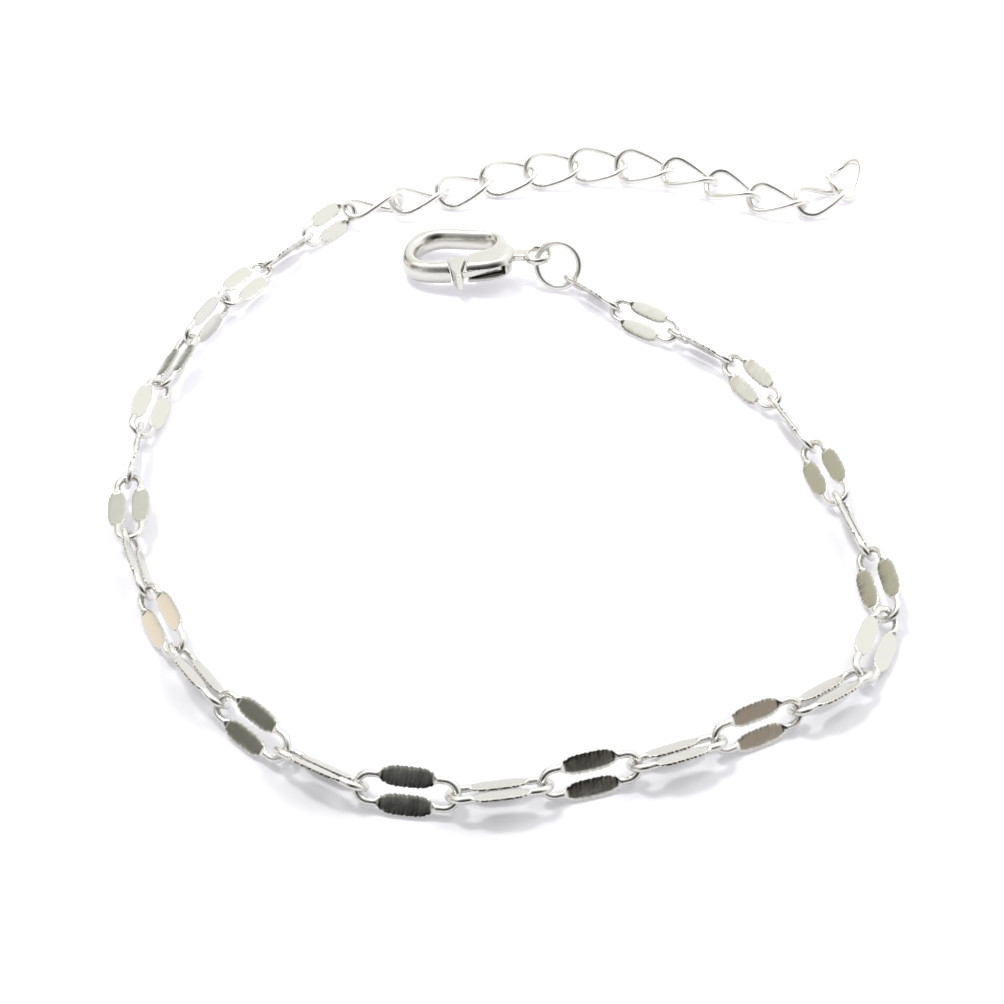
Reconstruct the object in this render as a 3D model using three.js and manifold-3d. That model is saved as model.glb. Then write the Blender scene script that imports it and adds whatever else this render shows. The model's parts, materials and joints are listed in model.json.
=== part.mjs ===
// A chain bracelet lying open: pressed oval links, a jump ring, a lobster clasp with a sprung lever,
// and a curb extender chain. Millimetres, +Z up, resting on the plane z = 0.

import * as THREE from "three";
import { ParametricGeometry } from "three/addons/geometries/ParametricGeometry.js";
import { mergeVertices } from "three/addons/utils/BufferGeometryUtils.js";
import Module from "manifold-3d";

const wasm = await Module();
wasm.setup();

// Wire loops
const WIRE_SIDES = 6; // faces round a link's wire
const BOW_STEPS = 3; // steps in a quarter turn of a link's bow
const END_PLAY = 0.4; // loose play at the ring and at the first curb link, which hook at a slant

// Main links: an oval of wire whose two long sides are pressed flat into pads
const LINK_COUNT = 28;
const LINK_PITCH = 5.54;
const LINK_WIRE = 0.42;
const LINK_PLAY = 0.2; // loose play between two links that hook each other
const LINK_SPACING = 1.66; // between the middles of the two long sides
const PAD_LENGTH = 3.1;
const PAD_WIDTH = 1.18;
const PAD_THICKNESS = 0.24;
const PAD_RAMP = 0.32; // length over which the round wire goes flat
const WIRE_FLAT = 0.5; // flat share of a wire's six-sided section
const PAD_FLAT = 0.86; // flat share of a pad's section

// A pad's outline, from its end to its middle, as shares of half its length and of its width
const PAD_OUTLINE = [
  { along: 1.0, width: 0.62 },
  { along: 0.6, width: 0.95 },
  { along: 0.0, width: 1.0 },
];

// Curb links of the extender: plain ovals twisted a quarter turn from end to end
const CURB_COUNT = 12;
const CURB_PITCH = 4.3;
const CURB_WIRE = 0.55;
const CURB_PLAY = 0.35;
const CURB_SPACING = 3.0;
const CURB_TWIST = -Math.PI / 2; // left-handed, so the near side climbs towards the free end

// Jump ring between the clasp and the first link
const RING_RADIUS = 1.85;
const RING_WIRE = 0.55;
const RING_SIDES = 16;
const RING_CENTRE = { x: 4.7, y: 27.85, z: 1.98 };
const RING_LEAN = 65; // degrees from lying flat
const RING_YAW = -20;
const RING_CHAIN_ANGLE = -38; // where the first link hooks the ring, degrees round the ring
const RING_CLASP_ANGLE = 165; // where the clasp's eye hangs on the ring

// Lobster clasp, in its own frame: X from the hook's nose to the eye, Z from the underside up
const CLASP_YAW = -10;
const CLASP_HEIGHT = 1.9;
const CLASP_ROUNDING = 0.58;

// The clasp's outline from the nose to the eye, along the spine and along the front with the lever:
// the two handles and the end of each curve
const CLASP_SPINE = [
  { near: [0, 2.2], far: [1.0, 3.2], end: [3.4, 3.2] },
  { near: [5.6, 3.2], far: [7.0, 2.85], end: [8.4, 2.25] },
  { near: [8.8, 2.05], far: [8.9, 1.1], end: [9.4, 0.75] },
  { near: [9.65, 0.6], far: [9.8, 0.3], end: [9.8, 0] },
];
const CLASP_FRONT = [
  { near: [0, -2.2], far: [1.0, -3.2], end: [3.4, -3.2] },
  { near: [5.6, -3.2], far: [7.6, -3.05], end: [8.7, -2.6] },
  { near: [9.4, -2.3], far: [9.8, -1.6], end: [9.8, -1.0] },
  { near: [9.8, -0.6], far: [9.8, -0.3], end: [9.8, 0] },
];

// Inside the clasp: a slot that narrows from its round end in the hook to the one by the eye
const SLOT = {
  hook: { x: 3.15, y: 0, radius: 1.85 },
  eye: { x: 6.9, y: 0.75, radius: 0.85 },
};
const HOOK_END = 4.3; // where the hook's arm stops
const CHEEK_START = 6.15; // where the two cheeks beside the lever start
const FORK = { start: 5.9, end: 9.3, inner: 0.45, gap: 0.84 }; // room for the lever between the cheeks
const EYE = { x: 11.75, outer: 1.22, hole: 0.82, thickness: 0.6, bevel: 0.12 };
const EYE_REST = 0.05; // from the middle of the eye to the ring's wire
const NECK = { start: 9.2, end: 10.9, width: 1.1 };
const PIVOT = { x: 8.5, y: -1.35, pin: 0.3, hole: 0.42, sides: 12 };

// The lever: a flat plate between the cheeks that ends in a thicker tip with a thumb tab
const PLATE = { thickness: 0.64, tail: 0.62, tip: 4.9, outer: 3.1, inner: 1.35, waist: 6.6 };
const WAIST = { outer: 2.75, inner: 1.1 };
const TIP = { end: 5.8, thickness: 1.5, bevel: 0.12 };
const TAB = { start: 5.2, reach: 4.05, shoulder: 5.35 };

// The way the main chain lies, from the ring round the front to the extender
const CHAIN_WAY = [
  { x: 10.0, y: 22.5 },
  { x: 14.8, y: 18.9 },
  { x: 18.5, y: 15.3 },
  { x: 21.1, y: 10.5 },
  { x: 23.0, y: 5.3 },
  { x: 24.1, y: 0.2 },
  { x: 25.2, y: -5.6 },
  { x: 25.3, y: -11.0 },
  { x: 22.4, y: -15.7 },
  { x: 17.9, y: -18.3 },
  { x: 12.8, y: -20.6 },
  { x: 7.9, y: -22.3 },
  { x: 2.6, y: -23.7 },
  { x: -2.7, y: -24.4 },
  { x: -8.1, y: -23.8 },
  { x: -12.9, y: -21.4 },
  { x: -17.3, y: -17.7 },
  { x: -21.0, y: -13.0 },
  { x: -24.0, y: -7.8 },
  { x: -25.9, y: -2.7 },
  { x: -26.8, y: 2.6 },
  { x: -27.0, y: 7.7 },
  { x: -26.4, y: 12.8 },
  { x: -25.1, y: 18.1 },
  { x: -22.8, y: 23.4 },
  { x: -20.3, y: 28.2 },
  { x: -17.2, y: 32.6 },
  { x: -13.7, y: 37.1 },
  { x: -10.0, y: 40.6 },
];

// How far the odd links lean about the chain, in degrees; the even links lie square to them
const CHAIN_LEAN = [
  { link: 1, lean: 50 },
  { link: 8, lean: 50 },
  { link: 9, lean: 32 },
  { link: 10, lean: 54 },
  { link: 14, lean: 57 },
  { link: 15, lean: 42 },
  { link: 19, lean: 42 },
  { link: 21, lean: 3 },
  { link: 24, lean: -63 },
  { link: 28, lean: -150 },
];

// The way the extender lies, from the last main link to the free end
const EXTENDER_WAY = [
  { x: -10.0, y: 38.5 },
  { x: -6.1, y: 39.8 },
  { x: -1.9, y: 41.7 },
  { x: 2.4, y: 43.3 },
  { x: 6.6, y: 44.4 },
  { x: 10.9, y: 44.7 },
  { x: 15.0, y: 44.2 },
  { x: 19.2, y: 42.3 },
  { x: 23.0, y: 39.7 },
  { x: 26.9, y: 38.7 },
  { x: 30.3, y: 40.4 },
  { x: 31.8, y: 44.2 },
  { x: 32.6, y: 48.0 },
];

// How far the curb links lean about the extender
const EXTENDER_LEAN = [
  { link: 1, lean: 28 },
  { link: 2, lean: 8 },
  { link: 4, lean: -30 },
  { link: 6, lean: -30 },
  { link: 8, lean: 0 },
  { link: 12, lean: 0 },
];

const UP = new THREE.Vector3(0, 0, 1);
const radians = THREE.MathUtils.degToRad;

// Finishes
function silverPlate(color, roughness) {
  return new THREE.MeshStandardMaterial({ color, roughness, metalness: 1 });
}

// Solids
function solidOf(geometry) {
  const bare = geometry.clone();
  bare.deleteAttribute("normal");
  bare.deleteAttribute("uv");
  const merged = mergeVertices(bare, 1e-4);
  const vertProperties = merged.attributes.position.array;
  const triVerts = new Uint32Array(merged.index.array);
  return new wasm.Manifold(new wasm.Mesh({ numProp: 3, vertProperties, triVerts }));
}

function geometryOf(solid) {
  const mesh = solid.getMesh();
  const geometry = new THREE.BufferGeometry();
  geometry.setAttribute("position", new THREE.BufferAttribute(mesh.vertProperties, 3));
  geometry.setIndex(new THREE.BufferAttribute(mesh.triVerts, 1));
  geometry.computeVertexNormals();
  return geometry;
}

function boxSolid(low, high) {
  const size = high.map((value, axis) => value - low[axis]);
  const middle = high.map((value, axis) => (value + low[axis]) / 2);
  return solidOf(new THREE.BoxGeometry(...size).translate(...middle));
}

// A flat shape made into a plate centred on the clasp's middle height
function plateSolid(shape, thickness, bevel, curveSegments) {
  const geometry = new THREE.ExtrudeGeometry(shape, {
    depth: thickness - 2 * bevel,
    bevelEnabled: bevel > 0,
    bevelThickness: bevel,
    bevelSize: bevel,
    bevelOffset: -bevel,
    bevelSegments: 2,
    curveSegments,
  });
  return solidOf(geometry.translate(0, 0, (CLASP_HEIGHT - thickness) / 2 + bevel));
}

// Wire loops: the distance from a link's middle to the middle of its wire at the tip
function reachOf(pitch, wire, play) {
  return (pitch + wire + play) / 2;
}

// One quarter of a loop's middle line, from the tip of a bow to the end of the bow
function bowRows(reach, spacing, wire) {
  const radius = spacing / 2;
  return Array.from({ length: BOW_STEPS + 1 }, (_, step) => {
    const turn = (step / BOW_STEPS) * (Math.PI / 2);
    return {
      x: reach - radius + radius * Math.cos(turn),
      y: radius * Math.sin(turn),
      outX: Math.cos(turn),
      outY: Math.sin(turn),
      halfWidth: wire / 2,
      halfHeight: (wire / 2) * Math.sin(Math.PI / 3),
      flat: WIRE_FLAT,
    };
  });
}

// A section on a loop's straight side
function sideRow(x, spacing, halfWidth, halfHeight, flat) {
  return { x, y: spacing / 2, outX: 0, outY: 1, halfWidth, halfHeight, flat };
}

// A whole loop from one quarter, which runs from a bow's tip to the middle of a side
function wholeLoop(quarter) {
  const mirrored = (row, signX, signY) => ({
    ...row,
    x: row.x * signX,
    outX: row.outX * signX,
    y: row.y * signY,
    outY: row.outY * signY,
  });
  const back = quarter.slice(0, -1).reverse();
  return [
    ...quarter,
    ...back.map((row) => mirrored(row, -1, 1)),
    ...quarter.slice(1).map((row) => mirrored(row, -1, -1)),
    ...back.slice(0, -1).map((row) => mirrored(row, 1, -1)),
  ];
}

// A closed wire through a loop's sections, twisted about X from one end to the other
function loopGeometry(rows, reach, twist) {
  const corners = [
    { across: 1, wide: false, height: 0 },
    { across: 1, wide: true, height: 1 },
    { across: -1, wide: true, height: 1 },
    { across: -1, wide: false, height: 0 },
    { across: -1, wide: true, height: -1 },
    { across: 1, wide: true, height: -1 },
  ];
  const along = new THREE.Vector3(1, 0, 0);
  const surface = (u, v, target) => {
    const row = rows[Math.round(u * rows.length) % rows.length];
    const corner = corners[Math.round(v * WIRE_SIDES) % WIRE_SIDES];
    const across = corner.across * row.halfWidth * (corner.wide ? row.flat : 1);
    target.set(row.x + across * row.outX, row.y + across * row.outY, corner.height * row.halfHeight);
    target.applyAxisAngle(along, (twist / 2) * (target.x / reach));
  };
  return new ParametricGeometry(surface, rows.length, WIRE_SIDES);
}

function mainLinkGeometry() {
  const reach = reachOf(LINK_PITCH, LINK_WIRE, LINK_PLAY);
  const rows = bowRows(reach, LINK_SPACING, LINK_WIRE);
  const wire = rows[0];
  const rampStart = PAD_LENGTH / 2 + PAD_RAMP;
  rows.push(sideRow(rampStart, LINK_SPACING, wire.halfWidth, wire.halfHeight, WIRE_FLAT));
  for (const { along, width } of PAD_OUTLINE) {
    const x = (along * PAD_LENGTH) / 2;
    rows.push(sideRow(x, LINK_SPACING, (width * PAD_WIDTH) / 2, PAD_THICKNESS / 2, PAD_FLAT));
  }
  return loopGeometry(wholeLoop(rows), reach, 0);
}

function curbLinkGeometry() {
  const reach = reachOf(CURB_PITCH, CURB_WIRE, CURB_PLAY);
  const rows = bowRows(reach, CURB_SPACING, CURB_WIRE);
  const wire = rows[0];
  const straight = reach - CURB_SPACING / 2;
  for (const share of [0.5, 0]) {
    rows.push(sideRow(share * straight, CURB_SPACING, wire.halfWidth, wire.halfHeight, WIRE_FLAT));
  }
  return loopGeometry(wholeLoop(rows), reach, CURB_TWIST);
}

// The lean of a link by its number, between the rows of a table
function leanAt(table, number) {
  const after = table.findIndex(({ link }) => link > number);
  if (after === 0) return table[0].lean;
  if (after < 0) return table.at(-1).lean;
  const [from, to] = [table[after - 1], table[after]];
  return THREE.MathUtils.lerp(from.lean, to.lean, (number - from.link) / (to.link - from.link));
}

// The lying chain: a smooth way through rows about one link apart, at a height for each link number
function wayThrough(rows, heightOf) {
  const curve = new THREE.CatmullRomCurve3(rows.map(({ x, y }) => new THREE.Vector3(x, y, 0)));
  return (t) => {
    const point = curve.getPoint(t);
    point.z = heightOf(t * (rows.length - 1));
    return point;
  };
}

// Knots one pitch apart along a way, from its start
function knotsAlong(way, count, pitch) {
  const knots = [way(0)];
  let t = 0;
  while (knots.length <= count) {
    const from = knots.at(-1);
    let low = t;
    let high = t;
    while (way(high).distanceTo(from) < pitch) high += 0.002;
    for (let halving = 0; halving < 24; halving += 1) {
      const middle = (low + high) / 2;
      if (way(middle).distanceTo(from) < pitch) low = middle;
      else high = middle;
    }
    t = high;
    knots.push(way(t));
  }
  return knots;
}

// Puts a link between two knots, leaning about the line that joins them
function placeLink(mesh, from, to, leanDegrees) {
  const along = to.clone().sub(from).normalize();
  const left = UP.clone().cross(along).normalize();
  const above = along.clone().cross(left);
  const lean = radians(leanDegrees);
  const across = left.clone().multiplyScalar(Math.cos(lean)).addScaledVector(above, -Math.sin(lean));
  const face = above.multiplyScalar(Math.cos(lean)).addScaledVector(left, Math.sin(lean));
  mesh.quaternion.setFromRotationMatrix(new THREE.Matrix4().makeBasis(along, across, face));
  mesh.position.lerpVectors(from, to, 0.5);
}

// How far a link reaches below its own middle when it leans
function reachBelow(geometry, leanDegrees) {
  const places = geometry.getAttribute("position");
  const lean = radians(leanDegrees);
  let lowest = 0;
  for (let index = 0; index < places.count; index += 1) {
    const z = places.getZ(index) * Math.cos(lean) - places.getY(index) * Math.sin(lean);
    lowest = Math.min(lowest, z);
  }
  return -lowest;
}

// Height along a chain, which leaves its start and lies on the surface from its second knot on
function settling(startHeight, restHeight) {
  const firstLink = 0.5; // a knot lies half a link past the middle of the link before it
  return (knot) => THREE.MathUtils.lerp(startHeight, restHeight(knot + firstLink), Math.min(knot, 1));
}

function numbered(name, index) {
  return `${name}_${String(index + 1).padStart(2, "0")}`;
}

// Jump ring
function jumpRing() {
  const geometry = new THREE.TorusGeometry(RING_RADIUS, RING_WIRE / 2, WIRE_SIDES, RING_SIDES);
  const mesh = new THREE.Mesh(geometry, silverPlate(0xe9e9e6, 0.12));
  mesh.name = "jump_ring";
  mesh.rotation.set(radians(RING_LEAN), 0, radians(RING_YAW), "ZYX");
  mesh.position.set(RING_CENTRE.x, RING_CENTRE.y, RING_CENTRE.z);
  mesh.updateMatrix();
  return mesh;
}

// The middle of the ring's wire at an angle round the ring
function ringPoint(ring, degrees) {
  const angle = radians(degrees);
  const local = new THREE.Vector3(Math.cos(angle), Math.sin(angle), 0).multiplyScalar(RING_RADIUS);
  return local.applyMatrix4(ring.matrix);
}

function mainChain(ring) {
  const hook = ringPoint(ring, RING_CHAIN_ANGLE);
  const second = new THREE.Vector3(CHAIN_WAY[0].x, CHAIN_WAY[0].y, hook.z);
  const away = second.sub(hook).normalize();
  const overhang = reachOf(LINK_PITCH, LINK_WIRE, LINK_PLAY) - LINK_PITCH / 2;
  const back = (LINK_WIRE + RING_WIRE + END_PLAY) / 2 - overhang;
  const start = hook.clone().addScaledVector(away, -back);
  const rows = [{ x: start.x, y: start.y }, ...CHAIN_WAY];
  const geometry = mainLinkGeometry();
  const rest = (number) => {
    const lean = leanAt(CHAIN_LEAN, number);
    return Math.max(reachBelow(geometry, lean), reachBelow(geometry, lean - 90));
  };
  const knots = knotsAlong(wayThrough(rows, settling(hook.z, rest)), LINK_COUNT, LINK_PITCH);
  const meshes = Array.from({ length: LINK_COUNT }, (_, index) => {
    const mesh = new THREE.Mesh(geometry, silverPlate(0xe6e6e3, 0.16));
    mesh.name = numbered("link", index);
    const squareTurn = index % 2 === 0 ? 0 : -90;
    placeLink(mesh, knots[index], knots[index + 1], leanAt(CHAIN_LEAN, index + 1) + squareTurn);
    return mesh;
  });
  return { meshes, end: knots.at(-1) };
}

function extenderChain(start) {
  const first = new THREE.Vector3(EXTENDER_WAY[0].x, EXTENDER_WAY[0].y, start.z);
  const back = first.sub(start).normalize().multiplyScalar((LINK_PLAY + CURB_PLAY) / 2 - END_PLAY);
  start.add(back);
  const rows = [{ x: start.x, y: start.y }, ...EXTENDER_WAY];
  const geometry = curbLinkGeometry();
  const rest = (number) => reachBelow(geometry, leanAt(EXTENDER_LEAN, number));
  const knots = knotsAlong(wayThrough(rows, settling(start.z, rest)), CURB_COUNT, CURB_PITCH);
  return Array.from({ length: CURB_COUNT }, (_, index) => {
    const mesh = new THREE.Mesh(geometry, silverPlate(0xebebe8, 0.12));
    mesh.name = numbered("extender_link", index);
    placeLink(mesh, knots[index], knots[index + 1], leanAt(EXTENDER_LEAN, index + 1));
    return mesh;
  });
}

// Clasp body: a nose that hooks round to an arm, a spine, two cheeks, a pin and an eye
function claspOutline() {
  const shape = new THREE.Shape();
  shape.moveTo(0, 0);
  for (const { near, far, end } of CLASP_FRONT) shape.bezierCurveTo(...near, ...far, ...end);
  const starts = [[0, 0], ...CLASP_SPINE.map(({ end }) => end)];
  for (let index = CLASP_SPINE.length - 1; index >= 0; index -= 1) {
    const { near, far } = CLASP_SPINE[index];
    shape.bezierCurveTo(...far, ...near, ...starts[index]);
  }
  return shape;
}

function slotOutline() {
  const { hook, eye } = SLOT;
  const along = Math.atan2(eye.y - hook.y, eye.x - hook.x);
  const spread = Math.acos((hook.radius - eye.radius) / Math.hypot(eye.x - hook.x, eye.y - hook.y));
  const shape = new THREE.Shape();
  shape.absarc(eye.x, eye.y, eye.radius, along - spread, along + spread);
  shape.absarc(hook.x, hook.y, hook.radius, along + spread, along - spread + 2 * Math.PI);
  return shape;
}

function discOutline(x, y, radius) {
  return new THREE.Shape().absarc(x, y, radius, 0, 2 * Math.PI);
}

function claspBody() {
  const over = 1; // how far a cut runs past what it cuts
  const middle = CLASP_HEIGHT / 2;
  const side = -TAB.reach - over;
  const slot = plateSolid(slotOutline(), CLASP_HEIGHT + 2 * over, 0, 6);
  const gate = boxSolid([HOOK_END, side, -over], [CHEEK_START, SLOT.hook.y, CLASP_HEIGHT + over]);
  const fork = boxSolid(
    [FORK.start, side, middle - FORK.gap / 2],
    [FORK.end, FORK.inner, middle + FORK.gap / 2],
  );
  const eye = plateSolid(discOutline(EYE.x, 0, EYE.outer), EYE.thickness, EYE.bevel, 8);
  const hole = plateSolid(discOutline(EYE.x, 0, EYE.hole), CLASP_HEIGHT, 0, 6);
  const neck = boxSolid(
    [NECK.start, -NECK.width / 2, middle - EYE.thickness / 2],
    [NECK.end, NECK.width / 2, middle + EYE.thickness / 2],
  );
  const pinOutline = discOutline(PIVOT.x, PIVOT.y, PIVOT.pin);
  const pin = plateSolid(pinOutline, CLASP_HEIGHT - 2 * PIVOT.pin, 0, PIVOT.sides / 2);
  const body = plateSolid(claspOutline(), CLASP_HEIGHT, CLASP_ROUNDING, 5);
  const opened = body.subtract(slot).subtract(gate).subtract(fork);
  const whole = opened.add(pin).add(neck).add(eye).subtract(hole);
  const mesh = new THREE.Mesh(geometryOf(whole), silverPlate(0xdcdcd8, 0.1));
  mesh.name = "clasp_body";
  return mesh;
}

function claspLever() {
  const plate = new THREE.Shape();
  plate.moveTo(PLATE.tip, -PLATE.outer);
  plate.lineTo(PLATE.waist, -WAIST.outer);
  plate.absarc(PIVOT.x, PIVOT.y, PLATE.tail, -Math.PI / 2, Math.PI / 2);
  plate.lineTo(PLATE.waist, -WAIST.inner);
  plate.lineTo(PLATE.tip, -PLATE.inner);
  const tip = new THREE.Shape();
  tip.moveTo(PLATE.tip, -PLATE.outer);
  tip.lineTo(TAB.start, -PLATE.outer);
  tip.lineTo(TAB.shoulder, -TAB.reach);
  tip.lineTo(TIP.end, -TAB.reach);
  tip.lineTo(TIP.end, -PLATE.inner);
  tip.lineTo(PLATE.tip, -PLATE.inner);
  const hole = plateSolid(discOutline(PIVOT.x, PIVOT.y, PIVOT.hole), CLASP_HEIGHT, 0, PIVOT.sides / 2);
  const lever = plateSolid(plate, PLATE.thickness, 0, 6).subtract(hole);
  const whole = lever.add(plateSolid(tip, TIP.thickness, TIP.bevel, 6));
  const mesh = new THREE.Mesh(geometryOf(whole), silverPlate(0xdcdcd8, 0.1));
  mesh.name = "clasp_lever";
  return mesh;
}

// The whole clasp, with its nose on the surface and its eye lifted by the ring
function lobsterClasp(ring) {
  const hold = ringPoint(ring, RING_CLASP_ANGLE);
  const eye = new THREE.Vector3(EYE.x + EYE_REST, 0, CLASP_HEIGHT / 2);
  const tilt = Math.asin(hold.z / eye.length()) - Math.atan2(eye.z, eye.x);
  const clasp = new THREE.Group();
  clasp.add(claspBody(), claspLever());
  clasp.rotation.set(0, -tilt, radians(CLASP_YAW), "ZYX");
  clasp.position.copy(hold).sub(eye.applyEuler(clasp.rotation));
  return clasp;
}

// The whole bracelet, with its origin under the middle of its box
function bracelet() {
  const lying = new THREE.Group();
  const ring = jumpRing();
  const chain = mainChain(ring);
  lying.add(lobsterClasp(ring), ring, ...chain.meshes, ...extenderChain(chain.end));
  lying.updateMatrixWorld(true);
  const box = new THREE.Box3().setFromObject(lying, true);
  const middle = box.getCenter(new THREE.Vector3());
  lying.position.set(-middle.x, -middle.y, -box.min.z);
  const whole = new THREE.Group();
  whole.add(lying);
  return whole;
}

export default bracelet();
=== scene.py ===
"""Looks of a silver-plated chain bracelet that lies open on a pale floor.

The file is laid out as a Blender add-on and is run as a script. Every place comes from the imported
solids: a link's own axes are read from its solid, and the clasp's from its hinge and its mount.
"""

import json
import math

import bmesh
import bpy
import numpy as np
from bpy.props import FloatProperty, FloatVectorProperty, IntProperty, PointerProperty
from mathutils import Matrix, Vector
from mathutils.geometry import interpolate_bezier


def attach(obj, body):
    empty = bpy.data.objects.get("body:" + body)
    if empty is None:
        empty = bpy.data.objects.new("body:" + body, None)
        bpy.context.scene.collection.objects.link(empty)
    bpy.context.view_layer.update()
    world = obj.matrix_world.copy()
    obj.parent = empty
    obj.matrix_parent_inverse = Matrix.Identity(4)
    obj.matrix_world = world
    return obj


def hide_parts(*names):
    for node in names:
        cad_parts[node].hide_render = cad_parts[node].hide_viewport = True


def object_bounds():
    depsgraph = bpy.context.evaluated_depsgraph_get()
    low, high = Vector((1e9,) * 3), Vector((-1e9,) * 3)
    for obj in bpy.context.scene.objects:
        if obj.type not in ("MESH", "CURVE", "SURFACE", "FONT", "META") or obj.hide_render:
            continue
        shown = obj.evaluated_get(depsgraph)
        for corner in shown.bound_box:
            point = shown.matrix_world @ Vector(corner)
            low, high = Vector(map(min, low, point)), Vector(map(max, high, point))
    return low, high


bl_info = {
    "name": "Chain Bracelet",
    "version": (1, 0, 0),
    "blender": (4, 5, 0),
    "location": "View3D > Sidebar > Bracelet",
    "description": "Builds a silver-plated chain bracelet with a lobster clasp and a curb extender",
    "category": "Add Mesh",
}

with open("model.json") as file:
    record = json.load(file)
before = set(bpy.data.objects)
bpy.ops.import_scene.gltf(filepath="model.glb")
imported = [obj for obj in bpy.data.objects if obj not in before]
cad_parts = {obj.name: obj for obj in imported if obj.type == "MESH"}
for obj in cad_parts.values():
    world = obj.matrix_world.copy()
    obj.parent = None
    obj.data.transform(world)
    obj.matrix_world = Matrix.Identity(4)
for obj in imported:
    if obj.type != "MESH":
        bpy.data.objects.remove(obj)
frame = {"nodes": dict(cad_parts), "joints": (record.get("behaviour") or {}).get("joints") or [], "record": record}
CAD_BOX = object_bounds()

MM = 0.001
BODY = "bracelet"
LEVER_BODY = "clasp_lever"
LINK_NODES = sorted(name for name in frame["nodes"] if name.startswith("link_"))
CURB_NODES = sorted(name for name in frame["nodes"] if name.startswith("extender_link_"))

# Clasp, in millimetres in its own frame: X from the hook's nose to the eye, Z from the underside up
CLASP_HEIGHT = 1.9
CLASP_SPINE = [
    {"near": (0, 2.2), "far": (1.0, 3.2), "end": (3.4, 3.2)},
    {"near": (5.6, 3.2), "far": (7.0, 2.85), "end": (8.4, 2.25)},
    {"near": (8.8, 2.05), "far": (8.9, 1.1), "end": (9.4, 0.75)},
    {"near": (9.65, 0.6), "far": (9.8, 0.3), "end": (9.8, 0)},
]
CLASP_FRONT = [
    {"near": (0, -2.2), "far": (1.0, -3.2), "end": (3.4, -3.2)},
    {"near": (5.6, -3.2), "far": (7.6, -3.05), "end": (8.7, -2.6)},
    {"near": (9.4, -2.3), "far": (9.8, -1.6), "end": (9.8, -1.0)},
    {"near": (9.8, -0.6), "far": (9.8, -0.3), "end": (9.8, 0)},
]
SLOT_HOOK = {"x": 3.15, "y": 0.0, "radius": 1.85}
SLOT_EYE = {"x": 6.9, "y": 0.75, "radius": 0.85}
SWING = {"radius": 4.0, "clearance": 0.1, "outer": -3.6}
CHEEK_START = 6.15
FORK = {"start": 5.9, "end": 9.3, "inner": 0.45, "gap": 0.84}
EYE = {"x": 11.75, "radius": 1.02, "half_width": 0.22, "half_height": 0.32}
NECK = {"start": 9.2, "end": 10.95, "half_width": 0.5, "half_height": 0.3}
PIVOT = {"x": 8.5, "y": -1.35, "pin": 0.3, "hole": 0.42}
MOUNT_POINT = (4.0, 2.2, 0.0)
PLATE = {"thickness": 0.64, "tail": 0.62, "tip": 4.9, "outer": 3.1, "inner": 1.35, "waist": 6.6}
WAIST = {"outer": 2.75, "inner": 1.1}
TIP = {"end": 5.8, "thickness": 1.5}
TAB = {"root": 3.3, "reach": 4.05, "near": 5.55, "far": 6.05}

# How far a cut runs past the clasp's faces in millimetres, and a whole turn in degrees and points
OVERCUT = 1.0
WHOLE_TURN = {"first": 0, "last": 345, "steps": 24}

# How finely wire is drawn: steps along its path and sides round its section
LINK_STEPS = {"path": 204, "sides": 16}
CURB_STEPS = {"path": 120, "sides": 14}
RING_STEPS = {"path": 120, "sides": 18}
OVAL_STEPS = 96

# In degrees: how far an edge bends before it stays sharp, and where the ring is cut
CREASE = 60
RING_CUT = 250

# How flat wire has to be to have the finish of a pad, from 0 for round to 1 for flat
PAD_FROM = 0.9

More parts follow.
